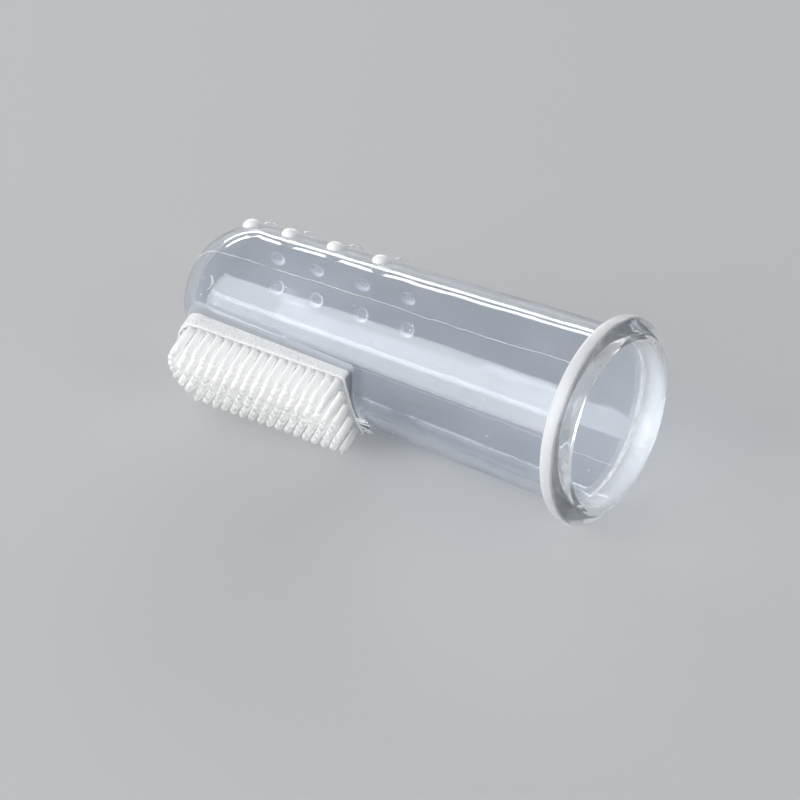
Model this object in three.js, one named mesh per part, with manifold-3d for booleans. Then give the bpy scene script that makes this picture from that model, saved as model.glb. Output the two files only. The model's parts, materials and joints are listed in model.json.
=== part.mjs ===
// Finger toothbrush: a clear silicone sleeve that slips over a fingertip, with a raised pad of
// bristles on one side of the tip, rounded massage nubs on the other, and a thick rolled rim.
//
// Units are millimetres and +Z is up. The sleeve's axis is X, from the closed tip to the open
// mouth. The brush lies on its side: its bristles point to -Y and a little downwards.
// Stations along the sleeve are measured from the tip; the finished part is centred on its box.

import * as THREE from "three";
import { mergeVertices } from "three/addons/utils/BufferGeometryUtils.js";
import Module from "manifold-3d";

// ---- sleeve ------------------------------------------------------------------------------
const TIP_RADIUS = 8.2; // outside radius where the dome meets the tube
const MOUTH_RADIUS = 9.83; // outside radius where the tube meets the rim
const DOME_LENGTH = 7.6;
const DOME_STEPS = 7;
const RIM_START = 50.3; // station where the tube ends and the rim starts
const WALL = 1.2;

// ---- rim ---------------------------------------------------------------------------------
const RIM_RADIUS = 11.5;
const RIM_WIDTH = 3.2;
const RIM_BORE = 8.95; // the bore opens out a little inside the rim
const RIM_STEP = 0.9; // length of the slope between the two bores
const FACE_INNER = 9.35; // the flat ring on the end of the rim
const FACE_OUTER = 9.95;

// ---- brush pad ---------------------------------------------------------------------------
const BRUSH_ANGLE = -106.5; // degrees from +Z towards +Y, seen along the sleeve
const PAD_HALF_WIDTH = 5.05;
const PAD_TIP = 3.1; // nearest station to the tip
const PAD_END = 25.7;
const PAD_ARC = 7.0; // radius of the rounded end of the pad
const PAD_CREST = 8.95; // height of the middle of the face above the sleeve's axis
const PAD_CROWN = 36; // radius the face is crowned to, across the pad
const PAD_SKIN = 0.03; // the pad clears the sleeve it grows from by this much

// ---- bristles ----------------------------------------------------------------------------
const ROWS = 9;
const ROW_PITCH = 1.08;
const BRISTLE_PITCH = 1.18;
const BRISTLE_RADIUS = 0.44;
const BRISTLE_TOP = 11.95; // height of the bristle tips above the sleeve's axis
const LAST_BRISTLE = 24.9; // station of the bristles nearest the mouth
const FIELD_ARC = 6.0; // radius of the rounded end of the bristle field
const FIELD_TIP = 4.0; // station of the bristles nearest the tip
const ROOT_GAP = 0.3; // room for a row to turn over the pad
const BRISTLE_SIDES = 6;
const BRISTLE_TAPER = 0.8; // a tip's radius over its root's
const CLOSEST = 0.75; // no two bristles of a row stand nearer than this share of the pitch

// ---- massage nubs --------------------------------------------------------------------------
const NUB_STATIONS = [5.6, 10.6, 16.4, 22.2];
const NUB_ANGLES = [-46.8, -17.7, 17.7, 46.8]; // degrees each side of the nubs' middle line
const NUB_SHIFT = -4; // degrees from the line opposite the brush to the nubs' middle line
const NUB_RADIUS = 1.0;
const NUB_HEIGHT = 0.75;
const NUB_FOOT = 0.5; // depth of a nub below the wall's outside before it is cut to fit

// ---- moulding marks ------------------------------------------------------------------------
const SEAM_OFFSET = 86; // degrees from the brush to the parting line
const SEAM_WIDTH = 0.22;
const SEAM_HEIGHT = 0.1;
const SEAM_GAP = 0.04;
const SEAM_START = 0.6; // station where the parting line starts to show on the dome
const GATE_STATION = 5.7;
const GATE_ANGLE = -47; // degrees from +Z towards +Y
const GATE_RADIUS = 0.8;
const GATE_HEIGHT = 0.25;
const GATE_CUT = 0.64; // radius of the circle that hollows the disc into a crescent
const GATE_CUT_SHIFT = 0.4; // how far that circle's middle lies towards the tip

const ROUND = 48; // facets round the sleeve
const RAD = Math.PI / 180;

const wasm = await Module();
wasm.setup();
const part = new THREE.Group();
part.name = "finger_toothbrush";

const CLEAR = { color: 0xdfe6ec, roughness: 0.12, transparent: true, opacity: 0.55 };
const MILKY = { color: 0xeef0f0, roughness: 0.35 };

// ---- helpers -------------------------------------------------------------------------------

function addPiece(name, geometry, look) {
  const mesh = new THREE.Mesh(geometry, new THREE.MeshStandardMaterial(look));
  mesh.name = name;
  part.add(mesh);
}

function toSolid(geometry) {
  const bare = geometry.clone();
  bare.deleteAttribute("normal");
  bare.deleteAttribute("uv");
  const merged = mergeVertices(bare, 1e-4);
  const mesh = new wasm.Mesh({
    numProp: 3,
    vertProperties: new Float32Array(merged.attributes.position.array),
    triVerts: new Uint32Array(merged.index.array),
  });
  return new wasm.Manifold(mesh);
}

function toGeometry(solid) {
  const mesh = solid.getMesh();
  const geometry = new THREE.BufferGeometry();
  geometry.setAttribute("position", new THREE.BufferAttribute(mesh.vertProperties, 3));
  geometry.setIndex(new THREE.BufferAttribute(mesh.triVerts, 1));
  geometry.computeVertexNormals();
  return geometry;
}

// Turns a closed [station, radius] outline about the sleeve's axis.
function turned(outline) {
  const points = outline.map(([station, radius]) => new THREE.Vector2(radius, station));
  const geometry = new THREE.LatheGeometry(points, ROUND);
  geometry.rotateZ(-Math.PI / 2); // the lathe's axis goes from Y to X
  return geometry;
}

// The sleeve's outside radius at a station.
function outsideRadius(station) {
  if (station < DOME_LENGTH) {
    const back = (DOME_LENGTH - station) / DOME_LENGTH;
    return TIP_RADIUS * Math.sqrt(Math.max(0, 1 - back * back));
  }
  const along = (station - DOME_LENGTH) / (RIM_START - DOME_LENGTH);
  return THREE.MathUtils.lerp(TIP_RADIUS, MOUTH_RADIUS, along);
}

// The wall's slope along the sleeve at a station, in radians.
function slopeAt(station) {
  const step = 0.05;
  return Math.atan2(outsideRadius(station + step) - outsideRadius(station - step), step * 2);
}

// A quarter ellipse from the axis at `start` out to `radius` at `end`.
function quarter(start, end, radius, steps) {
  const points = [];
  for (let i = 0; i <= steps; i += 1) {
    const turn = (i / steps) * (Math.PI / 2);
    points.push([end - (end - start) * Math.cos(turn), radius * Math.sin(turn)]);
  }
  return points;
}

// Moves a shape made in brush axes (x along the sleeve, y across the brush, z outwards)
// round the sleeve to the given angle.
function aimed(geometry, angle) {
  return geometry.rotateX(-angle * RAD);
}

// The sleeve filled solid and grown by `gap`, for cutting what stands on it to fit.
function filledSleeve(gap) {
  return toSolid(turned([
    ...quarter(-gap, DOME_LENGTH, TIP_RADIUS + gap, DOME_STEPS * 3),
    [RIM_START, MOUTH_RADIUS + gap],
    [RIM_START, 0],
  ]));
}

// ---- sleeve: dome, tube and rim ------------------------------------------------------------

function makeDome() {
  const outside = quarter(0, DOME_LENGTH, TIP_RADIUS, DOME_STEPS);
  const inside = quarter(WALL, DOME_LENGTH, TIP_RADIUS - WALL, DOME_STEPS).reverse();
  inside[inside.length - 1][1] = 0;
  outside[0][1] = 0;
  addPiece("dome", turned([...outside, ...inside]), CLEAR);
}

function makeTube() {
  addPiece("sleeve_tube", turned([
    [DOME_LENGTH, TIP_RADIUS],
    [RIM_START, MOUTH_RADIUS],
    [RIM_START, MOUTH_RADIUS - WALL],
    [DOME_LENGTH, TIP_RADIUS - WALL],
    [DOME_LENGTH, TIP_RADIUS],
  ]), CLEAR);
}

function makeRim() {
  const end = RIM_START + RIM_WIDTH;
  addPiece("rim", turned([
    [RIM_START, MOUTH_RADIUS],
    [RIM_START + 0.1, MOUTH_RADIUS + 0.5],
    [RIM_START + 0.3, MOUTH_RADIUS + 1.1],
    [RIM_START + 0.75, RIM_RADIUS - 0.12],
    [RIM_START + 1.3, RIM_RADIUS],
    [RIM_START + 2.0, RIM_RADIUS - 0.08],
    [end - 0.65, RIM_RADIUS - 0.6],
    [end - 0.2, FACE_OUTER + 0.3],
    [end, FACE_OUTER],
    [end, FACE_INNER],
    [end - 0.25, RIM_BORE + 0.1],
    [end - 0.7, RIM_BORE],
    [RIM_START + RIM_STEP, RIM_BORE],
    [RIM_START, MOUTH_RADIUS - WALL],
    [RIM_START, MOUTH_RADIUS],
  ]), MILKY);
}

// ---- brush pad -----------------------------------------------------------------------------

// Where the rounded end of a field crosses a line at `across` from its middle.
function arcStation(tip, radius, across) {
  return tip + radius - Math.sqrt(radius * radius - across * across);
}

function padOutline() {
  const steps = 10;
  const outline = new THREE.Shape();
  outline.moveTo(PAD_END, -PAD_HALF_WIDTH);
  outline.lineTo(PAD_END, PAD_HALF_WIDTH);
  for (let i = 0; i <= steps; i += 1) {
    const across = PAD_HALF_WIDTH * (1 - (2 * i) / steps);
    outline.lineTo(arcStation(PAD_TIP, PAD_ARC, across), across);
  }
  return outline;
}

function makePad() {
  const block = new THREE.ExtrudeGeometry(padOutline(), { depth: PAD_CREST, bevelEnabled: false });
  const crown = new THREE.CylinderGeometry(PAD_CROWN, PAD_CROWN, PAD_END * 3, 160);
  crown.rotateZ(Math.PI / 2);
  crown.translate(0, 0, PAD_CREST - PAD_CROWN);
  const pad = toSolid(block).intersect(toSolid(crown)).subtract(filledSleeve(PAD_SKIN));
  addPiece("brush_pad", aimed(toGeometry(pad), BRUSH_ANGLE), MILKY);
}

// ---- bristles ------------------------------------------------------------------------------

function padHeight(across) {
  return PAD_CREST - PAD_CROWN + Math.sqrt(PAD_CROWN * PAD_CROWN - across * across);
}

// Stations of one row's bristles, every second row half a pitch nearer the tip.
function rowStations(row, across) {
  const first = arcStation(FIELD_TIP, FIELD_ARC, across);
  const stations = [];
  let station = LAST_BRISTLE - (row % 2 === 0 ? 0 : BRISTLE_PITCH / 2);
  while (station > first + BRISTLE_PITCH * CLOSEST) {
    stations.push(station);
    station -= BRISTLE_PITCH;
  }
  stations.push(first);
  return stations;
}

function bristle(station, root) {
  const top = BRISTLE_TOP - root;
  const profile = [
    [0, 0],
    [BRISTLE_RADIUS, 0],
    [BRISTLE_RADIUS * BRISTLE_TAPER, top - BRISTLE_RADIUS / 2],
    [0, top],
  ].map(([radius, height]) => new THREE.Vector2(radius, height));
  const geometry = new THREE.LatheGeometry(profile, BRISTLE_SIDES);
  geometry.rotateX(Math.PI / 2);
  geometry.translate(station, 0, root);
  return toSolid(geometry);
}

function makeRow(row) {
  const across = (row - (ROWS - 1) / 2) * ROW_PITCH;
  const root = padHeight(Math.abs(across) + BRISTLE_RADIUS) + ROOT_GAP + BRISTLE_RADIUS;
  const stations = rowStations(row, across);
  const last = stations[0];
  const first = stations[stations.length - 1];
  const bar = new THREE.CylinderGeometry(BRISTLE_RADIUS, BRISTLE_RADIUS, last - first, 8);
  bar.rotateZ(Math.PI / 2);
  bar.translate((first + last) / 2, 0, root);
  const solid = stations.reduce((sum, station) => sum.add(bristle(station, root)), toSolid(bar));
  const geometry = toGeometry(solid).translate(0, across, 0);
  addPiece(`bristle_row_${row + 1}`, aimed(geometry, BRUSH_ANGLE), MILKY);
}

// ---- massage nubs --------------------------------------------------------------------------

function makeNub(rowName, turn, column, station) {
  const profile = quarter(0, NUB_HEIGHT, NUB_RADIUS, 3).map(([height, radius]) =>
    new THREE.Vector2(radius, NUB_HEIGHT - height));
  profile[0].x = 0;
  profile.push(new THREE.Vector2(NUB_RADIUS, -NUB_FOOT), new THREE.Vector2(0, -NUB_FOOT));
  profile.reverse();
  const geometry = new THREE.LatheGeometry(profile, 10);
  geometry.rotateX(Math.PI / 2);
  geometry.rotateY(-slopeAt(station));
  geometry.translate(station, 0, outsideRadius(station));
  const angle = BRUSH_ANGLE + 180 + NUB_SHIFT + turn;
  const nub = toSolid(aimed(geometry, angle)).subtract(filledSleeve(SEAM_GAP));
  addPiece(`nub_${rowName}${column + 1}`, toGeometry(nub), CLEAR);
}

// ---- moulding marks ------------------------------------------------------------------------

// A thin ridge of flash along the sleeve, from the dome to the rim.
function makeSeam(name, angle) {
  const stations = [];
  for (let i = 0; i <= DOME_STEPS; i += 1) {
    stations.push(THREE.MathUtils.lerp(SEAM_START, DOME_LENGTH, i / DOME_STEPS));
  }
  stations.push(RIM_START - SEAM_GAP);
  const foot = stations.map((at) => new THREE.Vector2(at, outsideRadius(at) + SEAM_GAP * 2));
  const crest = foot.map((point) => new THREE.Vector2(point.x, point.y + SEAM_HEIGHT)).reverse();
  const outline = new THREE.Shape([...foot, ...crest]);
  const strip = new THREE.ExtrudeGeometry(outline, { depth: SEAM_WIDTH, bevelEnabled: false });
  strip.translate(0, 0, -SEAM_WIDTH / 2);
  strip.rotateX(Math.PI / 2); // the outline's radius now points along +Z
  addPiece(name, aimed(toGeometry(toSolid(strip)), angle), CLEAR);
}

// The crescent left where the moulding was fed, on the dome.
function makeGate() {
  const outer = new THREE.CylinderGeometry(GATE_RADIUS, GATE_RADIUS, 2, 20);
  const inner = new THREE.CylinderGeometry(GATE_CUT, GATE_CUT, 3, 20);
  inner.translate(-GATE_CUT_SHIFT, 0, 0);
  [outer, inner].forEach((geometry) => {
    geometry.rotateX(Math.PI / 2);
    geometry.rotateY(-slopeAt(GATE_STATION));
    geometry.translate(GATE_STATION, 0, outsideRadius(GATE_STATION));
    aimed(geometry, GATE_ANGLE);
  });
  const mark = toSolid(outer)
    .subtract(toSolid(inner))
    .intersect(filledSleeve(GATE_HEIGHT))
    .subtract(filledSleeve(SEAM_GAP));
  addPiece("gate_mark", toGeometry(mark), CLEAR);
}

// ---- assembly ------------------------------------------------------------------------------

makeDome();
makeTube();
makeRim();
makePad();
for (let row = 0; row < ROWS; row += 1) {
  makeRow(row);
}
NUB_ANGLES.forEach((turn, row) => {
  NUB_STATIONS.forEach((station, column) => makeNub("abcd"[row], turn, column, station));
});
makeSeam("seam_near", BRUSH_ANGLE + SEAM_OFFSET);
makeSeam("seam_far", BRUSH_ANGLE + SEAM_OFFSET + 180);
makeGate();

const centre = new THREE.Box3().setFromObject(part).getCenter(new THREE.Vector3());
part.children.forEach((mesh) => mesh.geometry.translate(-centre.x, -centre.y, -centre.z));

export default part;
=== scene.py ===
"""Looks of the clear silicone finger toothbrush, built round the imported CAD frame.

Everything is in metres in the row frame: +X runs along the sleeve from its closed tip to its open
mouth, +Z is up, and the bristles point to -Y and a little down. A station is a distance along the
sleeve from its tip. Angles round the sleeve are measured from +Z towards +Y. Where two pieces of
the one moulding meet, both carry a contact face that light passes straight through, so that the
separate pieces look like the single clear body they are.
"""

import json
import math
import random

import bmesh
import bpy
import numpy as np
from mathutils import Matrix, Vector


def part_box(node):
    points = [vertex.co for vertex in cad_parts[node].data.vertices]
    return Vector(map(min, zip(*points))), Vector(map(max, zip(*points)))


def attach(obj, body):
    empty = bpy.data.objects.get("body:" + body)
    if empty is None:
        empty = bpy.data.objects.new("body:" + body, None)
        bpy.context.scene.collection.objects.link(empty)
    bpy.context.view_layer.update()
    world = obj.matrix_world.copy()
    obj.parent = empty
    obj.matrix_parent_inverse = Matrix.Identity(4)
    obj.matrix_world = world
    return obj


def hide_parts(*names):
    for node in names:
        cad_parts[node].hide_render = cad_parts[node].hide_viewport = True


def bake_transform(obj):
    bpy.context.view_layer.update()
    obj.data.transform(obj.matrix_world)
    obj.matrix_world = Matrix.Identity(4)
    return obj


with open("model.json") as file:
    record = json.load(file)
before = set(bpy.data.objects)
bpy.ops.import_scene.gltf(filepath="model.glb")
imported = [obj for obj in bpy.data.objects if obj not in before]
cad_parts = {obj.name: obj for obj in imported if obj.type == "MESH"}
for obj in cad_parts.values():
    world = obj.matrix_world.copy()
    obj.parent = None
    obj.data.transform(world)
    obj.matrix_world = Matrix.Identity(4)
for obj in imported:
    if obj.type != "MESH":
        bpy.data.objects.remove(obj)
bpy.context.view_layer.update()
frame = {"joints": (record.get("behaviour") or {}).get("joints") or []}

MM = 0.001

# ---- sizes taken from the frame -------------------------------------------------------------
DOME_LOW, DOME_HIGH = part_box("dome")
TUBE_LOW, TUBE_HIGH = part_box("sleeve_tube")
RIM_LOW, RIM_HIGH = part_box("rim")
AXIS_Y = (RIM_LOW.y + RIM_HIGH.y) / 2
TIP_X = DOME_LOW.x
DOME_LENGTH = DOME_HIGH.x - TIP_X
TIP_RADIUS = DOME_HIGH.z
RIM_START = RIM_LOW.x - TIP_X
RIM_END = RIM_HIGH.x - TIP_X
MOUTH_RADIUS = TUBE_HIGH.z
RIM_RADIUS = RIM_HIGH.z
SLOPE = (MOUTH_RADIUS - TIP_RADIUS) / (RIM_START - DOME_LENGTH)

# ---- sizes the boxes don't give --------------------------------------------------------------
WALL = 1.2 * MM
SOFT_JOIN = 0.5 * MM  # length over which the dome runs into the taper
RIM_CREST = 1.3 * MM  # from the back of the rim to its widest ring
BRUSH_ANGLE = math.radians(-106.5)
PAD_HALF_WIDTH = 5.05 * MM
PAD_TIP = 3.1 * MM
PAD_END = 25.7 * MM
PAD_ARC = 7.0 * MM
PAD_CREST = 8.95 * MM
PAD_CROWN = 36 * MM
PAD_EDGE = 0.22 * MM  # rounding where the face meets the walls
PAD_SUNK = 0.25 * MM  # how far the pad reaches into the clear wall
PAD_FLARE = 0.3 * MM  # how far the foot of the pad's wall spreads
PAD_TIP_CORNER = 1.1 * MM
PAD_END_CORNER = 0.35 * MM
BRISTLE_PITCH = 1.18 * MM
BRISTLE_RADIUS = 0.44 * MM
BRISTLE_TOP = 11.95 * MM
BRISTLE_FLARE = 0.2 * MM  # how far a root spreads over the pad
BRISTLE_SUNK = 0.12 * MM
CLEAR_TIP_ROWS = 5  # the lowest rows, whose tips show clear
PAINTED_WHITE_TIP = 0.75  # the mark at the tips of the rows above them, under 1 so those tips stay whitish: painted light from the white bristles behind them
CLEAR_LAST = "bristle_row_1"  # the row whose bristle by the mouth is clear to its root
CLEAR_ROOT = 0.93  # the mark at the root of that bristle
NUB_STATIONS = [5.6 * MM, 10.6 * MM, 16.4 * MM, 22.2 * MM]
NUB_TURNS = [-50.8, -21.7, 13.7, 42.8]  # degrees from the line opposite the brush
NUB_RADIUS = 1.0 * MM
NUB_HEIGHT = 0.75 * MM
ROW_A_PAINTED_LIGHT = 0.72  # how clear the caps of row a are beside those of rows c and d; under 1, so row a shows a wider white ring: painted light, as that row is lit more
SEAM_TURN = 86  # degrees from the brush to each parting line
SEAM_WIDTH = 0.08 * MM
SEAM_HEIGHT = 0.04 * MM
SEAM_START = 0.6 * MM
GATE_STATION = 5.7 * MM
GATE_ANGLE = math.radians(-47)
GATE_RADIUS = 0.8 * MM
GATE_HEIGHT = 0.2 * MM
GATE_FROM = math.radians(-75)
GATE_SWEEP = math.radians(170)
GATE_HALF_WIDTH = 0.13 * MM
MARK_SUNK = 0.04 * MM  # how far a parting line or the gate mark reaches into the wall
CURL_ANGLE = math.radians(55)  # where a curl of flash lies on the mouth's face
CURL_RADIUS = 9.4 * MM
CURL_LENGTH = 0.55 * MM
CURL_WIDTH = 0.3 * MM
CURL_THICK = 0.17 * MM
NICK_ANGLE = math.radians(108)  # where a nick stands out of the rim's front slope
NICK_RADIUS = 10.75 * MM
NICK_LENGTH = 0.6 * MM
NICK_THICK = 0.16 * MM
FLASH_THREADS = 9
FLASH_THICK = 0.13 * MM

# ---- fineness of the meshes ------------------------------------------------------------------
COLUMN_STEP = math.radians(2.2)
ROW_STEP = 0.6 * MM
PATCH_HALF = 1.3 * MM  # half the square of wall that is meshed round a nub
PATCH_CELLS = 8
PATCH_TURN = PATCH_HALF / TIP_RADIUS
PAD_EDGE_STEPS = 4
PAD_WALL_STEPS = 10
FOOT_RING = PAD_EDGE_STEPS + 6  # the ring where the clear foot of the pad's wall starts

CLEAR, CONTACT = 0, 1  # material slots of a piece of the clear body
CLOUDY, GREY = 0, 1  # the pad's slots: its white walls, and its face (grey there as painted shade), mouth end and clear foot


# ---- mesh helpers ----------------------------------------------------------------------------


class Solid:
    """The points and faces of one piece, gathered before its mesh is made."""

    def __init__(self):
        self.points = []
        self.faces = []
        self.slots = []

    def add(self, points):
        """Adds points and returns their numbers."""
        start = len(self.points)
        self.points.extend(tuple(p) for p in points)
        return list(range(start, len(self.points)))

    def face(self, corners, slot=0):
        self.faces.append(corners)
        self.slots.append(slot)

    def bridge(self, ring, other, slot=0, closed=True):
        """Quads between two rings of the same length."""
        count = len(ring)
        for i in range(count if closed else count - 1):
            j = (i + 1) % count
            self.face((ring[i], ring[j], other[j], other[i]), slot)

    def fan(self, ring, centre, slot=0):
        for i, corner in enumerate(ring):
            self.face((corner, ring[(i + 1) % len(ring)], centre), slot)

    def make(self, name, materials, sharp=50):
        mesh = bpy.data.meshes.new(name)
        mesh.from_pydata(self.points, [], self.faces)
        for material in materials:
            mesh.materials.append(material)
        mesh.polygons.foreach_set("material_index", self.slots)
        work = bmesh.new()
        work.from_mesh(mesh)
        bmesh.ops.recalc_face_normals(work, faces=work.faces)
        work.to_mesh(mesh)
        work.free()
        mesh.shade_smooth()
        mesh.set_sharp_from_angle(angle=math.radians(sharp))
        piece = bpy.data.objects.new(name, mesh)
        bpy.context.scene.collection.objects.link(piece)
        return piece


def fill_to(values, target, step):
    """Carries a list of values on to target in even steps of about step."""
    start = values[-1]
    count = max(1, round((target - start) / step))
    values += [start + (target - start) * (i + 1) / count for i in range(count)]


def spaced(start, end, step, bands=(), half=0.0):
    """Values from start to end about step apart, with PATCH_CELLS even steps across each band."""
    values = [start]
    for centre in sorted(bands):
        fill_to(values, centre - half, step)
        low = values[-1]
        values += [low + 2 * half * (i + 1) / PATCH_CELLS for i in range(PATCH_CELLS)]
    fill_to(values, end, step)
    return values


# ---- the sleeve's outside --------------------------------------------------------------------


def outside(station):
    """The outside radius at a station: an elliptical dome that runs smoothly into the taper."""
    station = np.asarray(station, float)
    back = np.clip((DOME_LENGTH - station) / DOME_LENGTH, 0, 1)
    taper = SLOPE * SOFT_JOIN * np.log1p(np.exp((station - DOME_LENGTH) / SOFT_JOIN))
    return TIP_RADIUS * np.sqrt(1 - back * back) + taper * (station > 0)


def wall_table():
    """Distances along the wall from the tip, with the station at each."""
    turns = np.linspace(0, math.pi / 2, 1500)
    stations = np.concatenate([
        DOME_LENGTH * (1 - np.cos(turns)),
        np.linspace(DOME_LENGTH, RIM_START, 1500)[1:],
    ])
    radii = outside(stations)
    steps = np.hypot(np.diff(stations), np.diff(radii))
    return np.concatenate([[0], np.cumsum(steps)]), stations


WALL_LENGTHS, WALL_STATIONS = wall_table()


def wall_length(station):
    return float(np.interp(station, WALL_STATIONS, WALL_LENGTHS))


DOME_WALL = wall_length(DOME_LENGTH)
TUBE_WALL = wall_length(RIM_START)


def ring_point(station, radius, angle):
    return (TIP_X + station, AXIS_Y + radius * math.sin(angle), radius * math.cos(angle))


def wall_point(length, angle, height=0.0):
    """A point over the sleeve's outside, that far along the wall, round the sleeve and above it."""
    station = float(np.interp(length, WALL_LENGTHS, WALL_STATIONS))
    radius = float(outside(station))
    if height:
        reach = 0.03 * MM
        ahead = float(np.interp(length + reach, WALL_LENGTHS, WALL_STATIONS))
        behind = float(np.interp(length - reach, WALL_LENGTHS, WALL_STATIONS))
        slope = math.atan2(float(outside(ahead) - outside(behind)), ahead - behind)
        station -= height * math.sin(slope)
        radius += height * math.cos(slope)
    return ring_point(station, radius, angle)


def around(length, angle):
    """A function from (along, across, height) by a point on the wall to a point in space."""
    radius = float(outside(np.interp(length, WALL_LENGTHS, WALL_STATIONS)))

    def place(along, across, height=0.0):
        return wall_point(length + along, angle + across / radius, height)

    return place


# ---- nubs and the wall under them ------------------------------------------------------------

NUBS = [
    (f"nub_{row}{column + 1}", wall_length(station), BRUSH_ANGLE + math.pi + math.radians(turn))
    for row, turn in zip("abcd", NUB_TURNS)
    for column, station in enumerate(NUB_STATIONS)
]
NUB_ANGLES = sorted({angle for _, _, angle in NUBS})


def columns():
    """Angles of the mesh's lines along the sleeve."""
    start = min(NUB_ANGLES) - PATCH_TURN
    values = [start]
    for angle in NUB_ANGLES:
        if angle - PATCH_TURN > values[-1] + 1e-9:
            fill_to(values, angle - PATCH_TURN, COLUMN_STEP)
        low = values[-1]
        values += [low + 2 * PATCH_TURN * (i + 1) / PATCH_CELLS for i in range(PATCH_CELLS)]
    fill_to(values, start + 2 * math.pi, COLUMN_STEP)
    return values[:-1]


COLUMNS = columns()


def nub_circle(length, angle, radius=NUB_RADIUS, height=0.0):
    """A circle on the wall, in step with the edge of the square patch round it."""
    place = around(length, angle)
    count = PATCH_CELLS * 4
    turns = [math.radians(225) + 2 * math.pi * i / count for i in range(count)]
    return [place(radius * math.cos(t), radius * math.sin(t), height) for t in turns]


def square_ring(grid, row, column):
    """The numbers round the edge of a patch, from its low corner on, as nub_circle goes."""
    far_row = row + PATCH_CELLS
    far_column = column + PATCH_CELLS
    ring = [grid[i][column] for i in range(row, far_row)]
    ring += [grid[far_row][j] for j in range(column, far_column)]
    ring += [grid[i][far_column] for i in range(far_row, row, -1)]
    ring += [grid[row][j] for j in range(far_column, column, -1)]
    return ring


def mesh_wall(solid, lengths, nubs):
    """The outside of the wall as rings of points, with a round contact face under each nub."""
    grid = []
    for length in lengths:
        grid.append(solid.add([wall_point(length, angle) for angle in COLUMNS]))
    taken = set()
    for _, length, angle in nubs:
        row = int(np.argmin([abs(v - (length - PATCH_HALF)) for v in lengths]))
        column = int(np.argmin([abs(v - (angle - PATCH_TURN)) for v in COLUMNS]))
        taken |= {(row + i, column + j) for i in range(PATCH_CELLS) for j in range(PATCH_CELLS)}
        circle = solid.add(nub_circle(length, angle))
        square = square_ring(grid, row, column)
        middle = solid.add([
            wall_point_between(solid.points[a], solid.points[b]) for a, b in zip(square, circle)
        ])
        solid.bridge(square, middle)
        solid.bridge(middle, circle)
        centre = solid.add([wall_point(length, angle)])[0]
        solid.fan(circle, centre, CONTACT)
    for i in range(len(lengths) - 1):
        for j in range(len(COLUMNS)):
            if (i, j) not in taken:
                k = (j + 1) % len(COLUMNS)
                solid.face((grid[i][j], grid[i][k], grid[i + 1][k], grid[i + 1][j]))
    return grid


def wall_point_between(first, second):
    """The point on the sleeve's outside between two others on it."""
    x = (first[0] + second[0]) / 2
    y = (first[1] + second[1]) / 2 - AXIS_Y
    z = (first[2] + second[2]) / 2
    return ring_point(x - TIP_X, float(outside(x - TIP_X)), math.atan2(y, z))


def drop_loose(piece):
    """Takes out the points that no face uses."""
    work = bmesh.new()
    work.from_mesh(piece.data)
    bmesh.ops.delete(work, geom=[v for v in work.verts if not v.link_faces], context="VERTS")
    work.to_mesh(piece.data)
    work.free()


# ---- clear pieces ----------------------------------------------------------------------------


def in_dome(length):
    return length < DOME_WALL


def finish_clear(piece, *nodes):
    drop_loose(piece)
    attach(piece, "sleeve")
    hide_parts(*nodes)
    return piece


def make_dome(materials):
    nubs = [nub for nub in NUBS if in_dome(nub[1])]
    bands = sorted({length for _, length, _ in nubs})
    lengths = spaced(0.12 * MM, DOME_WALL - 0.06 * MM, ROW_STEP / 2, bands, PATCH_HALF)
    lengths.append(DOME_WALL)
    solid = Solid()
    outer = mesh_wall(solid, lengths, nubs)
    solid.fan(outer[0], solid.add([ring_point(0, 0, 0)])[0])
    steps = 26
    inner = []
    for i in range(steps, 0, -1):
        turn = math.pi / 2 * i / steps
        station = WALL + (DOME_LENGTH - WALL) * (1 - math.cos(turn))
        radius = (float(outside(DOME_LENGTH)) - WALL) * math.sin(turn)
        inner.append(solid.add([ring_point(station, radius, a) for a in COLUMNS]))
    solid.bridge(outer[-1], inner[0], CONTACT)
    for ring, following in zip(inner, inner[1:]):
        solid.bridge(ring, following)
    solid.fan(inner[-1], solid.add([ring_point(WALL, 0, 0)])[0])
    return finish_clear(solid.make("dome_shell", materials), "dome")


def make_tube(materials):
    nubs = [nub for nub in NUBS if not in_dome(nub[1])]
    bands = sorted({length for _, length, _ in nubs})
    lengths = [DOME_WALL] + spaced(
        DOME_WALL + 0.06 * MM, TUBE_WALL, ROW_STEP, bands, PATCH_HALF)
    solid = Solid()
    outer = mesh_wall(solid, lengths, nubs)
    inner = []
    for station in spaced(DOME_LENGTH, RIM_START, ROW_STEP * 1.5):
        radius = float(outside(station)) - WALL
        inner.append(solid.add([ring_point(station, radius, a) for a in COLUMNS]))
    solid.bridge(outer[0], inner[0], CONTACT)
    solid.bridge(outer[-1], inner[-1], CONTACT)
    for ring, following in zip(inner, inner[1:]):
        solid.bridge(ring, following)
    return finish_clear(solid.make("sleeve_wall", materials), "sleeve_tube")


def make_nub(name, length, angle, materials):
    solid = Solid()
    steps = 9
    rings = []
    rises = []
    for i in range(steps):
        turn = math.pi / 2 * i / steps
        circle = nub_circle(length, angle, NUB_RADIUS * math.cos(turn), NUB_HEIGHT * math.sin(turn))
        rings.append(solid.add(circle))
        rises += [math.sin(turn)] * len(circle)
    for ring, following in zip(rings, rings[1:]):
        solid.bridge(ring, following)
    solid.fan(rings[-1], solid.add([wall_point(length, angle, NUB_HEIGHT)])[0])
    solid.fan(rings[0], solid.add([wall_point(length, angle)])[0], CONTACT)
    nub = solid.make(name.replace("_", "_cap_"), materials)
    # row a gets a wider painted white ring and row b none: painted light, as the rows are lit
    # differently
    if name.startswith("nub_a"):
        rises = [value * ROW_A_PAINTED_LIGHT for value in rises]
    if name.startswith("nub_b"):
        rises = [1.0] * len(rises)
    rise = nub.data.attributes.new("rise", "FLOAT", "POINT")
    rise.data.foreach_set("value", rises + [rises[-1], rises[0]])
    return finish_clear(nub, name)


# ---- rim -------------------------------------------------------------------------------------


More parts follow.
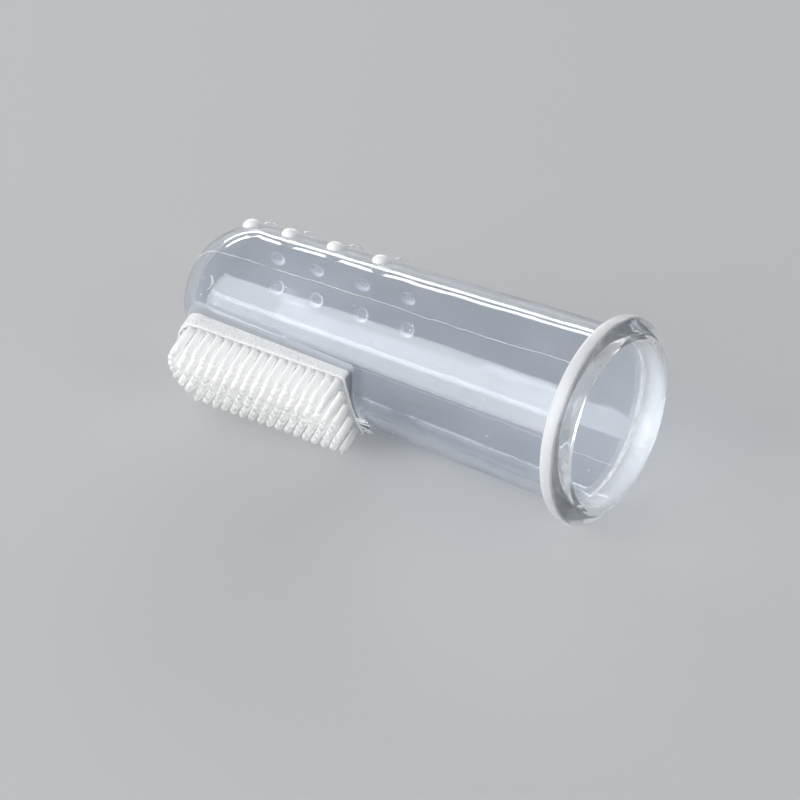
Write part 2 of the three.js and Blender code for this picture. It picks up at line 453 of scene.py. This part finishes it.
def rim_outline():
    """The rim's section as (station, radius), from the wall's outside round to its inside."""
    end = RIM_END - RIM_START
    back = [(0.08, 9.95), (0.16, 10.5), (0.34, 11.02), (0.62, 11.33), (0.95, 11.46)]
    crest = [(1.3, 11.5), (1.65, 11.49), (2.0, 11.42), (2.3, 11.22)]
    chamfer = [(2.6, 10.88), (2.85, 10.52), (3.02, 10.22), (3.14, 10.04)]
    lip = [(3.2, 9.9), (3.2, 9.65), (3.2, 9.42), (3.12, 9.22), (2.95, 9.06), (2.7, 8.97)]
    bore = [(2.5, 8.95), (1.9, 8.95), (1.3, 8.95), (1.0, 8.95), (0.93, 8.94), (0.86, 8.92)]
    step = [(0.66, 8.85), (0.46, 8.79), (0.26, 8.72), (0.12, 8.67), (0.06, 8.65)]
    outline = [(RIM_START, float(outside(RIM_START)))]
    for offset, radius in back + crest + chamfer + lip + bore + step:
        outline.append((RIM_START + min(offset * MM, end), radius * MM))
    outline.append((RIM_START, float(outside(RIM_START)) - WALL))
    return outline


def smoothed(outline, pieces):
    """Points on a Catmull-Rom curve through an open outline."""
    points = [np.array(p) for p in outline]
    points = [points[0]] + points + [points[-1]]
    curve = []
    for a, b, c, d in zip(points, points[1:], points[2:], points[3:]):
        for i in range(pieces):
            t = i / pieces
            curve.append(0.5 * (2 * b + (c - a) * t + (2 * a - 5 * b + 4 * c - d) * t * t
                                + (3 * b - a - 3 * c + d) * t * t * t))
    curve.append(points[-1])
    return curve


def make_rim(materials):
    solid = Solid()
    rings = []
    for station, radius in smoothed(rim_outline(), 3):
        rings.append(solid.add([ring_point(station, radius, a) for a in COLUMNS]))
    for ring, following in zip(rings, rings[1:]):
        solid.bridge(ring, following)
    solid.bridge(rings[-1], rings[0], CONTACT)
    rim = finish_clear(solid.make("rolled_rim", materials), "rim")
    return rim


# ---- moulding marks --------------------------------------------------------------------------


def make_seam(name, angle, material, seed):
    """A thin ridge of flash down the sleeve, a little unsteady as a worn parting line is."""
    draw = random.Random(seed)
    solid = Solid()
    rings = []
    wander = 0.0
    first = wall_length(SEAM_START)
    lengths = spaced(first, TUBE_WALL - 0.02 * MM, 0.45 * MM)
    for i, length in enumerate(lengths):
        wander = 0.86 * wander + draw.uniform(-0.05, 0.05) * MM
        half = SEAM_WIDTH / 2 * draw.uniform(0.75, 1.15)
        high = SEAM_HEIGHT * draw.uniform(0.6, 1.2)
        place = around(length, angle)
        section = []
        for k in range(7):
            turn = math.pi * k / 6
            section.append(place(0, wander + half * math.cos(turn), high * math.sin(turn)))
        section.append(place(0, wander, -MARK_SUNK))
        rings.append(solid.add(section))
    for ring, following in zip(rings, rings[1:]):
        solid.bridge(ring, following)
    solid.face(rings[0][::-1])
    solid.face(rings[-1])
    return finish_clear(solid.make("parting_" + name, [material]), name)


def make_gate(material):
    """The raised crescent where the moulding was fed: thick in its middle, thin at its horns."""
    solid = Solid()
    place = around(wall_length(GATE_STATION), GATE_ANGLE)
    rings = []
    steps = 24
    for i in range(steps + 1):
        share = i / steps
        turn = GATE_FROM + GATE_SWEEP * share
        fat = math.sin(math.pi * share) * GATE_HALF_WIDTH + 0.02 * MM
        tall = math.sin(math.pi * share) * GATE_HEIGHT * 0.8 + GATE_HEIGHT * 0.2
        section = []
        for k in range(9):
            side = math.pi * k / 8
            radius = GATE_RADIUS + fat * math.cos(side)
            section.append(place(radius * math.cos(turn), radius * math.sin(turn),
                                 tall * math.sin(side)))
        section.append(place(
            GATE_RADIUS * math.cos(turn), GATE_RADIUS * math.sin(turn), -MARK_SUNK))
        rings.append(solid.add(section))
    for ring, following in zip(rings, rings[1:]):
        solid.bridge(ring, following)
    solid.face(rings[0][::-1])
    solid.face(rings[-1])
    return finish_clear(solid.make("gate_crescent", [material]), "gate_mark")


def make_strand(name, points, radius, material):
    """A thread of flash through the points, thinning to its free end."""
    sides = 8
    solid = Solid()
    rings = []
    places = [Vector(point) for point in points]
    for i, place in enumerate(places):
        ahead = places[min(i + 1, len(places) - 1)] - places[max(i - 1, 0)]
        side = ahead.cross(Vector((0.3, 0.2, 1))).normalized()
        other = ahead.cross(side).normalized()
        thick = radius * (1 - 0.5 * i / (len(places) - 1))
        turns = [2 * math.pi * k / sides for k in range(sides)]
        rings.append(solid.add([
            place + side * thick * math.cos(t) + other * thick * math.sin(t) for t in turns]))
    for ring, following in zip(rings, rings[1:]):
        solid.bridge(ring, following)
    solid.fan(rings[0], solid.add([places[0]])[0])
    solid.fan(rings[-1], solid.add([places[-1]])[0])
    strand = solid.make(name, [material])
    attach(strand, "sleeve")
    return strand


def make_pad_flash(material):
    """Torn threads of flash from the pad's end wall, near its lower corner."""
    draw = random.Random(31)
    for number in range(FLASH_THREADS):
        across = -PAD_HALF_WIDTH * draw.uniform(0.3, 0.98)
        level = draw.uniform(0.1, 0.9)
        length = draw.uniform(0.7, 2.0) * MM
        swing = draw.uniform(-0.4, 0.3)
        points = []
        for i in range(7):
            along = length * i / 6
            over = across + swing * along + draw.uniform(-0.05, 0.05) * MM
            station = PAD_END - 0.15 * MM + along
            foot = sleeve_height(station, over)
            lift = (face_height(across) - foot) * level + draw.uniform(0, 0.12) * MM
            points.append(brush_point(station, over, foot + lift))
        make_strand(f"pad_flash_{number + 1}", points, FLASH_THICK, material)


def make_rim_flash(material):
    """A curl of flash inside the mouth's face and a nick on the rim's front slope."""
    curl = []
    for i in range(13):
        turn = math.radians(200 - 210 * i / 12)
        angle = CURL_ANGLE + CURL_LENGTH * math.cos(turn) / RIM_RADIUS
        radius = CURL_RADIUS + CURL_WIDTH * math.sin(turn)
        curl.append(ring_point(RIM_END - 0.08 * MM, radius, angle))
    make_strand("rim_flash_curl", curl, CURL_THICK, material)
    nick = []
    for i in range(5):
        share = i / 4
        nick.append(ring_point(
            RIM_END - 0.3 * MM, NICK_RADIUS - NICK_LENGTH * (1 - share), NICK_ANGLE))
    make_strand("rim_flash_nick", nick, NICK_THICK, material)


def make_nub_flash(material):
    """A short tail of flash beside one nub of the last row."""
    _, length, angle = next(nub for nub in NUBS if nub[0] == "nub_d3")
    place = around(length, angle)
    points = []
    for i in range(6):
        share = i / 5
        reach = NUB_RADIUS + 0.55 * MM * share
        points.append(place(-reach * 0.75, -reach * 0.66 + 0.12 * MM * share * share, 0.03 * MM))
    make_strand("nub_flash", points, 0.08 * MM, material)


# ---- brush pad -------------------------------------------------------------------------------

OUTWARD = Vector((0, math.sin(BRUSH_ANGLE), math.cos(BRUSH_ANGLE)))
ACROSS = Vector((0, math.cos(BRUSH_ANGLE), -math.sin(BRUSH_ANGLE)))


def brush_point(station, across, height):
    """A point given along the sleeve, across the brush and outwards from the sleeve's axis."""
    return (
        TIP_X + station,
        AXIS_Y + across * ACROSS.y + height * OUTWARD.y,
        across * ACROSS.z + height * OUTWARD.z,
    )


def arc_station(tip, radius, across):
    return tip + radius - math.sqrt(radius * radius - across * across)


def face_height(across):
    return PAD_CREST - PAD_CROWN + math.sqrt(PAD_CROWN * PAD_CROWN - across * across)


def corner_cut(across, corner):
    """How far a rounded corner pulls an end in, at a distance from the middle."""
    over = min(max((abs(across) - (PAD_HALF_WIDTH - corner)) / corner, 0), 1)
    return corner * (1 - math.sqrt(1 - over * over))


def pad_grid(solid, grow, height_at):
    """A grid over the pad's plan, grown by grow at its edges. height_at takes (station, across)."""
    grid = []
    along, over = 64, 22
    for i in range(over + 1):
        share = math.sin(math.pi / 2 * (2 * i / over - 1))
        plan = share * PAD_HALF_WIDTH
        start = arc_station(PAD_TIP, PAD_ARC, plan) + corner_cut(plan, PAD_TIP_CORNER) - grow
        end = PAD_END - corner_cut(plan, PAD_END_CORNER) + grow
        across = share * (PAD_HALF_WIDTH + grow)
        line = []
        for j in range(along + 1):
            station = start + (end - start) * j / along
            line.append(brush_point(station, across, height_at(station, across)))
        grid.append(solid.add(line))
    return grid


def grid_edge(grid):
    """The numbers round the edge of a grid."""
    return (grid[0] + [line[-1] for line in grid[1:]] + grid[-1][-2::-1]
            + [line[0] for line in grid[-2:0:-1]])


def sleeve_height(station, across):
    """The sleeve's outside, outwards from the axis, at a distance across the brush."""
    radius = float(outside(station))
    return math.sqrt(max(radius * radius - across * across, 0.0))


def pad_ring(grow, height_at, solid):
    return grid_edge(pad_grid(solid, grow, height_at))


def make_pad(materials):
    """The pad from its face down to its sunk underside, ring by ring."""
    solid = Solid()

    def face(station, across):
        return face_height(across)

    def sunk(station, across):
        return sleeve_height(station, across) - PAD_SUNK

    top = pad_grid(solid, -PAD_EDGE, face)
    # the face takes the grey slot: painted shade for the dark line between the pad's edge and the
    # bristle roots
    for line, following in zip(top, top[1:]):
        solid.bridge(line, following, GREY, closed=False)
    rings = [grid_edge(top)]
    for i in range(1, PAD_EDGE_STEPS + 1):
        turn = math.pi / 2 * i / PAD_EDGE_STEPS
        grow = PAD_EDGE * (math.sin(turn) - 1)
        drop = PAD_EDGE * (1 - math.cos(turn))
        rings.append(pad_ring(grow, lambda s, a, d=drop: face_height(a) - d, solid))
    for i in range(1, PAD_WALL_STEPS):
        share = i / PAD_WALL_STEPS
        flare = PAD_FLARE * share ** 6

        def height(station, across, share=share):
            upper = face_height(across) - PAD_EDGE
            return upper + (sunk(station, across) - upper) * share

        rings.append(pad_ring(flare, height, solid))
    bottom = pad_grid(solid, PAD_FLARE, sunk)
    for line, following in zip(bottom, bottom[1:]):
        solid.bridge(line, following, closed=False)
    rings.append(grid_edge(bottom))
    for number, (ring, following) in enumerate(zip(rings, rings[1:])):
        solid.bridge(ring, following, GREY if number >= FOOT_RING else CLOUDY)
    end = TIP_X + PAD_END - 0.05 * MM
    for number, corners in enumerate(solid.faces):
        if all(solid.points[corner][0] > end for corner in corners):
            solid.slots[number] = GREY
    pad = solid.make("bristle_pad", materials)
    drop_loose(pad)
    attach(pad, "sleeve")
    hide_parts("brush_pad")
    return pad


# ---- bristles --------------------------------------------------------------------------------


def bristle_profile(length):
    """(radius, height) up one bristle: a flared root, a slight taper and a round tip."""
    flare = BRISTLE_FLARE
    root_radius = BRISTLE_RADIUS * 1.06
    tip_radius = BRISTLE_RADIUS * 0.97
    profile = [(root_radius + flare * 0.6, -BRISTLE_SUNK)]
    for i in range(5):
        turn = math.pi / 2 * i / 4
        profile.append((root_radius + flare * (1 - math.sin(turn)), flare * (1 - math.cos(turn))))
    shaft = length - tip_radius
    for i in range(1, 6):
        share = i / 5
        radius = root_radius + (tip_radius - root_radius) * share
        profile.append((radius, flare + (shaft - flare) * share))
    for i in range(1, 6):
        turn = math.pi / 2 * i / 6
        profile.append((tip_radius * math.cos(turn), shaft + tip_radius * math.sin(turn)))
    return profile


def row_stations(node):
    """Stations of a row's bristles, worked out from the ends of its CAD node."""
    low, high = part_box(node)
    first = low.x - TIP_X + BRISTLE_RADIUS
    station = high.x - TIP_X - BRISTLE_RADIUS
    stations = []
    while station > first + BRISTLE_PITCH * 0.75:
        stations.append(station)
        station -= BRISTLE_PITCH
    stations.append(first)
    return stations


def add_bristle(solid, marks, station, across, draw, clearest, fullest):
    """One bristle, marked from 0 at its root to fullest at its tip, never under clearest."""
    sides = 14
    lean = Vector((draw.uniform(-0.018, 0.018), draw.uniform(-0.014, 0.014)))
    top = BRISTLE_TOP - face_height(across) + draw.uniform(-0.04, 0.04) * MM
    turn_by = draw.uniform(0, 1)
    rings = []
    for radius, height in bristle_profile(top):
        ring = []
        for i in range(sides):
            turn = 2 * math.pi * (i + turn_by) / sides
            along = station + radius * math.cos(turn) + lean.x * height
            over = across + radius * math.sin(turn) + lean.y * height
            ring.append(brush_point(along, over, face_height(across) + height))
        rings.append(solid.add(ring))
        marks += [min(max(height / top * fullest, clearest), 1)] * sides
    for ring, following in zip(rings, rings[1:]):
        solid.bridge(ring, following)
    crown = brush_point(station + lean.x * top, across + lean.y * top, face_height(across) + top)
    solid.fan(rings[-1], solid.add([crown])[0])
    marks.append(max(fullest, clearest))
    foot = brush_point(station, across, face_height(across) - BRISTLE_SUNK)
    solid.fan(rings[0], solid.add([foot])[0])
    marks.append(clearest)


def make_row(joint, material, seed):
    """One row of bristles, standing from the pad along its joint's hinge."""
    body = joint["child"]
    node = "bristle_" + body
    hinge = Vector(joint["pos_m"]) - Vector((0, AXIS_Y, 0))
    across = hinge.dot(ACROSS)
    # rows above the lowest keep whitish tips: painted light from the white bristles behind them
    fullest = 1.0 if int(node.split("_")[-1]) <= CLEAR_TIP_ROWS else PAINTED_WHITE_TIP
    draw = random.Random(seed)
    solid = Solid()
    marks = []
    for number, station in enumerate(row_stations(node)):
        lone = node == CLEAR_LAST and number == 0
        clearest = CLEAR_ROOT if lone else 0.0
        add_bristle(solid, marks, station, across, draw, clearest, fullest)
    row = solid.make("bristles_" + body, [material])
    mark = row.data.attributes.new("along_bristle", "FLOAT", "POINT")
    mark.data.foreach_set("value", marks)
    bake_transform(row)
    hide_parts(node)
    return row


# ---- materials -------------------------------------------------------------------------------


SILICONE_IOR = 1.41
SPECK_RADIUS = 0.09  # a speck's size as a share of its cell
BAND_BACK = 1.7 * MM  # the rim's outer band starts to clear here, from its back
BAND_FRONT = 2.2 * MM
BAND_INNER = 10.9 * MM  # radii between which the band turns cloudy
BAND_OUTER = 11.2 * MM


class Nodes:
    """Short calls for building one material's nodes."""

    def __init__(self, name):
        self.material = bpy.data.materials.new(name)
        self.material.use_nodes = True
        self.tree = self.material.node_tree
        self.tree.nodes.clear()
        self.output = self.add("ShaderNodeOutputMaterial")
        self.place = self.add("ShaderNodeTexCoord").outputs["Object"]

    def add(self, kind, **settings):
        node = self.tree.nodes.new(kind)
        for key, value in settings.items():
            setattr(node, key, value)
        return node

    def link(self, source, target):
        self.tree.links.new(source, target)

    def noise(self, size, detail=2.0, rough=0.5):
        """A noise from 0 to 1 whose lumps are about size across."""
        node = self.add("ShaderNodeTexNoise")
        node.inputs["Scale"].default_value = 1 / size
        node.inputs["Detail"].default_value = detail
        node.inputs["Roughness"].default_value = rough
        self.link(self.place, node.inputs["Vector"])
        return node.outputs["Fac"]

    def ranged(self, value, low, high, from_low=0.0, from_high=1.0):
        node = self.add("ShaderNodeMapRange")
        self.link(value, node.inputs["Value"])
        node.inputs["From Min"].default_value = from_low
        node.inputs["From Max"].default_value = from_high
        node.inputs["To Min"].default_value = low
        node.inputs["To Max"].default_value = high
        return node.outputs["Result"]

    def blend(self, share, first, second):
        """Two colours mixed by a value."""
        node = self.add("ShaderNodeMix", data_type="RGBA")
        self.link(share, node.inputs["Factor"])
        node.inputs["A"].default_value = (*first, 1)
        node.inputs["B"].default_value = (*second, 1)
        return node.outputs["Result"]

    def maths(self, operation, first, second):
        node = self.add("ShaderNodeMath", operation=operation)
        for slot, value in zip(node.inputs, (first, second)):
            if isinstance(value, (int, float)):
                slot.default_value = value
            else:
                self.link(value, slot)
        return node.outputs["Value"]

    def bump(self, height, distance):
        node = self.add("ShaderNodeBump")
        node.inputs["Distance"].default_value = distance
        node.inputs["Strength"].default_value = 1.0
        self.link(height, node.inputs["Height"])
        return node.outputs["Normal"]

    def silicone(self, **values):
        """A Principled shader; each value sets the socket of its name, or is linked to it."""
        node = self.add("ShaderNodeBsdfPrincipled")
        node.inputs["IOR"].default_value = SILICONE_IOR
        node.inputs["Subsurface Radius"].default_value = (1.0, 1.0, 1.0)
        for key, value in values.items():
            slot = node.inputs[key.replace("_", " ")]
            if isinstance(value, (int, float, tuple)):
                slot.default_value = value
            else:
                self.link(value, slot)
        return node

    def lamps_through(self, shader, face_on, edge_on):
        """Lets light from the lamps through: most where it meets the surface square on."""
        weight = self.add("ShaderNodeLayerWeight")
        weight.inputs["Blend"].default_value = 0.35
        clear = self.add("ShaderNodeBsdfTransparent")
        self.link(self.blend(weight.outputs["Facing"], face_on, edge_on), clear.inputs["Color"])
        path = self.add("ShaderNodeLightPath")
        mix = self.add("ShaderNodeMixShader")
        self.link(path.outputs["Is Shadow Ray"], mix.inputs["Fac"])
        self.link(shader, mix.inputs[1])
        self.link(clear.outputs["BSDF"], mix.inputs[2])
        return mix.outputs["Shader"]

    def done(self, shader):
        self.link(shader, self.output.inputs["Surface"])
        return self.material


def specks(nodes, size, share):
    """1 on a few small specks and 0 between them."""
    cells = nodes.add("ShaderNodeTexVoronoi")
    cells.inputs["Scale"].default_value = 1 / size
    nodes.link(nodes.place, cells.inputs["Vector"])
    near = nodes.maths("LESS_THAN", cells.outputs["Distance"], SPECK_RADIUS)
    split = nodes.add("ShaderNodeSeparateColor")
    nodes.link(cells.outputs["Color"], split.inputs["Color"])
    chosen = nodes.maths("LESS_THAN", split.outputs["Red"], share)
    return nodes.maths("MULTIPLY", near, chosen)


def clear_silicone():
    """The sleeve's clear wall: a faint blue haze, soft waves from the mould and a few specks."""
    nodes = Nodes("clear_silicone")
    waves = nodes.bump(nodes.noise(6 * MM, 1.0), 0.05 * MM)
    speck = specks(nodes, 1.1 * MM, 0.16)
    haze = nodes.ranged(nodes.noise(6 * MM, 3.0), 0.95, 0.9, 0.3, 0.7)
    clear = nodes.maths("SUBTRACT", haze, nodes.maths("MULTIPLY", speck, 0.9))
    gloss = nodes.ranged(nodes.noise(2.2 * MM, 3.0), 0.02, 0.06)
    colour = nodes.blend(nodes.noise(9 * MM, 1.0), (0.74, 0.775, 0.825), (0.78, 0.81, 0.855))
    shader = nodes.silicone(
        Base_Color=colour, Roughness=gloss, Transmission_Weight=clear, Normal=waves)
    return nodes.done(nodes.lamps_through(
        shader.outputs["BSDF"], (0.93, 0.945, 0.96), (0.6, 0.63, 0.67)))


def nub_silicone():
    """The nubs: clear on top, white where their steep sides leave the wall: a painted highlight
    standing for the bright ring each clear nub makes as a lens.
    """
    nodes = Nodes("nub_silicone")
    rise = nodes.add("ShaderNodeAttribute", attribute_name="rise").outputs["Fac"]
    cloud = nodes.ranged(nodes.noise(0.5 * MM, 2.0), -0.08, 0.06)
    clear = nodes.maths("ADD", nodes.ranged(rise, 0.02, 0.9, 0.72, 0.92), cloud)
    gloss = nodes.ranged(nodes.noise(0.8 * MM, 2.0), 0.03, 0.1)
    shader = nodes.silicone(
        Base_Color=(0.99, 0.99, 0.995, 1), Roughness=gloss, Transmission_Weight=clear)
    return nodes.done(nodes.lamps_through(
        shader.outputs["BSDF"], (0.95, 0.96, 0.97), (0.7, 0.72, 0.74)))


def contact_face():
    """Where two pieces of the same moulding meet, nothing shows."""
    nodes = Nodes("contact_face")
    clear = nodes.add("ShaderNodeBsdfTransparent")
    return nodes.done(clear.outputs["BSDF"])


def rim_silicone():
    """The thick rim: cloudy on its outer band, clear on its front slope and in its bore."""
    nodes = Nodes("rim_silicone")
    split = nodes.add("ShaderNodeSeparateXYZ")
    nodes.link(nodes.place, split.inputs["Vector"])
    start = TIP_X + RIM_START
    back = nodes.ranged(split.outputs["X"], 1.0, 0.0, start + BAND_BACK, start + BAND_FRONT)
    side = nodes.maths("SUBTRACT", split.outputs["Y"], AXIS_Y)
    square = nodes.maths("ADD", nodes.maths("MULTIPLY", side, side),
                         nodes.maths("MULTIPLY", split.outputs["Z"], split.outputs["Z"]))
    outer = nodes.ranged(nodes.maths("SQRT", square, 0.0), 0.0, 1.0, BAND_INNER, BAND_OUTER)
    band = nodes.maths("MULTIPLY", back, outer)
    mottle = nodes.ranged(nodes.noise(1.6 * MM, 3.0), -0.05, 0.02, 0.3, 0.7)
    clear = nodes.maths("ADD", nodes.ranged(band, 0.92, 0.4), mottle)
    gloss = nodes.maths("ADD", nodes.ranged(nodes.noise(1.2 * MM, 3.0), 0.03, 0.08),
                        nodes.ranged(band, 0.0, 0.34))
    waves = nodes.bump(nodes.noise(2.4 * MM, 2.0), 0.015 * MM)
    shader = nodes.silicone(
        Base_Color=(0.96, 0.97, 0.98, 1), Roughness=gloss, Transmission_Weight=clear,
        Normal=waves, Subsurface_Weight=0.6, Subsurface_Scale=1.5 * MM)
    return nodes.done(nodes.lamps_through(
        shader.outputs["BSDF"], (0.93, 0.94, 0.955), (0.6, 0.62, 0.65)))


def flash_silicone():
    """Thin flash that scatters light, so that it shows white."""
    nodes = Nodes("flash_silicone")
    gloss = nodes.ranged(nodes.noise(0.4 * MM, 2.0), 0.25, 0.5)
    clear = nodes.ranged(nodes.noise(0.9 * MM, 2.0), 0.1, 0.6, 0.35, 0.65)
    shader = nodes.silicone(
        Base_Color=(0.96, 0.97, 0.98, 1), Roughness=gloss, Transmission_Weight=clear)
    return nodes.done(shader.outputs["BSDF"])


def milky_silicone():
    """The pad: white and cloudy, with the fine grain of an eroded mould on its walls."""
    nodes = Nodes("milky_silicone")
    grain = nodes.noise(0.2 * MM, 3.0, 0.6)
    cloud = nodes.noise(1.8 * MM, 3.0)
    bright = nodes.ranged(grain, 0.0, 1.0, 0.35, 0.6)
    colour = nodes.blend(bright, (0.82, 0.83, 0.85), (0.95, 0.955, 0.96))
    gloss = nodes.ranged(grain, 0.22, 0.5, 0.3, 0.7)
    rough = nodes.bump(grain, 0.05 * MM)
    shader = nodes.silicone(
        Base_Color=colour, Roughness=gloss, Transmission_Weight=nodes.ranged(cloud, 0.05, 0.25),
        Normal=rough, Subsurface_Weight=0.5, Subsurface_Scale=0.8 * MM)
    return nodes.done(shader.outputs["BSDF"])


def pad_face_silicone():
    """The pad's face and mouth end, partly clear and grey beside the white roots; on the face the
    grey is painted shade, the dark line between the pad's edge and the bristle roots.
    """
    nodes = Nodes("pad_face_silicone")
    cloud = nodes.noise(1.2 * MM, 2.0)
    gloss = nodes.ranged(cloud, 0.1, 0.25)
    colour = nodes.blend(cloud, (0.55, 0.58, 0.62), (0.66, 0.69, 0.73))
    shader = nodes.silicone(Base_Color=colour, Roughness=gloss, Transmission_Weight=0.35)
    return nodes.done(shader.outputs["BSDF"])


def bristle_silicone():
    """Bristles: white where they crowd together at the root, clear at their round tips; the white
    is painted, standing for light scattered among the crowded clear rods.
    """
    nodes = Nodes("bristle_silicone")
    along = nodes.add("ShaderNodeAttribute", attribute_name="along_bristle").outputs["Fac"]
    grain = nodes.noise(0.25 * MM, 2.0)
    clear = nodes.ranged(along, 0.1, 0.72, 0.78, 0.97)
    gloss = nodes.ranged(grain, 0.08, 0.2, 0.3, 0.7)
    colour = nodes.blend(along, (0.995, 0.995, 0.99), (0.97, 0.975, 0.98))
    shader = nodes.silicone(
        Base_Color=colour, Roughness=gloss, Transmission_Weight=clear,
        Normal=nodes.bump(grain, 0.01 * MM), Subsurface_Weight=0.8,
        Subsurface_Scale=1.6 * MM)
    return nodes.done(nodes.lamps_through(
        shader.outputs["BSDF"], (0.98, 0.98, 0.98), (0.92, 0.92, 0.92)))


def floor_paint():
    nodes = Nodes("floor_paint")
    tone = nodes.blend(nodes.noise(0.4, 2.0), (0.56, 0.56, 0.565), (0.6, 0.6, 0.6))
    shader = nodes.silicone(Base_Color=tone, Roughness=0.6)
    return nodes.done(shader.outputs["BSDF"])


# ---- floor, lights and camera ------------------------------------------------------------------

REST_SLOPE = (RIM_RADIUS - TIP_RADIUS) / (RIM_START + RIM_CREST - DOME_LENGTH)
FLOOR_UP = Vector((REST_SLOPE, 0, 1)).normalized()  # the brush rests on its dome and its rim
FLOOR_POINT = Vector((TIP_X + DOME_LENGTH, AXIS_Y, -TIP_RADIUS)) - FLOOR_UP * 0.05 * MM
FLOOR_HALF = 3.0
FLOOR_CELLS = 4


def make_floor():
    along = Vector((0, 1, 0)).cross(FLOOR_UP).normalized()
    side = FLOOR_UP.cross(along)
    solid = Solid()
    grid = []
    steps = [FLOOR_HALF * (2 * i / FLOOR_CELLS - 1) for i in range(FLOOR_CELLS + 1)]
    for step in steps:
        grid.append(solid.add([FLOOR_POINT + along * step + side * over for over in steps]))
    for line, following in zip(grid, grid[1:]):
        solid.bridge(line, following, closed=False)
    floor = solid.make("floor", [floor_paint()])


def direction(azimuth, elevation):
    """Towards a point seen at that azimuth (0 is -Y, 90 is +X) and elevation, in degrees."""
    turn, rise = math.radians(azimuth), math.radians(elevation)
    return Vector((
        math.sin(turn) * math.cos(rise), -math.cos(turn) * math.cos(rise), math.sin(rise)))


def facing(back, up):
    """The rotation of an object whose local +Z points along back and whose top is towards up."""
    right = up.cross(back).normalized()
    return Matrix((right, back.cross(right), back)).transposed().to_4x4()


AIM = Vector((0.0016, -0.0030, -0.0036))  # what the camera and the lamps face
CAMERA_AZIMUTH = 35.55
CAMERA_ELEVATION = 37.6
CAMERA_DISTANCE = 0.531
CAMERA_ROLL = math.radians(0.45)
LENS_MM = 224
WORLD_COLOUR = (0.94, 0.97, 1.0, 1)
WORLD_STRENGTH = 0.42


def softbox(name, azimuth, elevation, distance, width, height, brightness):
    """A flat lamp whose brightness doesn't change with its size."""
    light = bpy.data.lights.new(name, "AREA")
    light.shape = "RECTANGLE"
    light.size = width
    light.size_y = height
    light.energy = brightness * math.pi * width * height
    lamp = bpy.data.objects.new(name, light)
    back = direction(azimuth, elevation)
    lamp.matrix_world = Matrix.Translation(AIM + back * distance) @ facing(back, Vector((0, 0, 1)))
    lamp.visible_camera = False
    bpy.context.scene.collection.objects.link(lamp)


def make_lights():
    softbox("near_softbox", -38, 28, 0.8, 0.42, 0.8, 5.0)
    softbox("near_core", -38, 24, 0.79, 0.42, 0.08, 3.5)
    softbox("mouth_softbox", 98, 34, 0.9, 0.5, 0.3, 1.6)
    softbox("far_softbox", -150, 16, 0.9, 1.0, 0.09, 9.0)
    world = bpy.data.worlds.new("studio")
    world.use_nodes = True
    background = world.node_tree.nodes["Background"]
    background.inputs["Color"].default_value = WORLD_COLOUR
    background.inputs["Strength"].default_value = WORLD_STRENGTH
    bpy.context.scene.world = world
    bpy.context.scene.view_settings.view_transform = "Standard"


def make_camera():
    """Seen from the mouth's side and above, turned a touch about the line of sight."""
    lens = bpy.data.cameras.new("camera")
    lens.lens = LENS_MM
    lens.sensor_width = 36
    lens.clip_start = 0.01
    camera = bpy.data.objects.new("camera", lens)
    back = direction(CAMERA_AZIMUTH, CAMERA_ELEVATION)
    roll = Matrix.Rotation(CAMERA_ROLL, 4, "Z")
    place = Matrix.Translation(AIM + back * CAMERA_DISTANCE)
    camera.matrix_world = place @ facing(back, FLOOR_UP) @ roll
    bpy.context.scene.collection.objects.link(camera)
    bpy.context.scene.camera = camera


# ---- assembly --------------------------------------------------------------------------------


def build():
    clear = [clear_silicone(), contact_face()]
    nub = nub_silicone()
    flash = flash_silicone()
    bristle = bristle_silicone()
    make_dome(clear)
    make_tube(clear)
    for name, length, angle in NUBS:
        make_nub(name, length, angle, [nub, clear[CONTACT]])
    make_rim([rim_silicone(), clear[CONTACT]])
    make_seam("seam_near", BRUSH_ANGLE + math.radians(SEAM_TURN), flash, 5)
    make_seam("seam_far", BRUSH_ANGLE + math.radians(SEAM_TURN) + math.pi, flash, 8)
    make_gate(flash)
    make_pad_flash(flash)
    make_rim_flash(flash)
    make_nub_flash(flash)
    make_pad([milky_silicone(), pad_face_silicone()])
    for number, joint in enumerate(frame["joints"]):
        make_row(joint, bristle, 20 + number)


build()
make_floor()
make_lights()
make_camera()
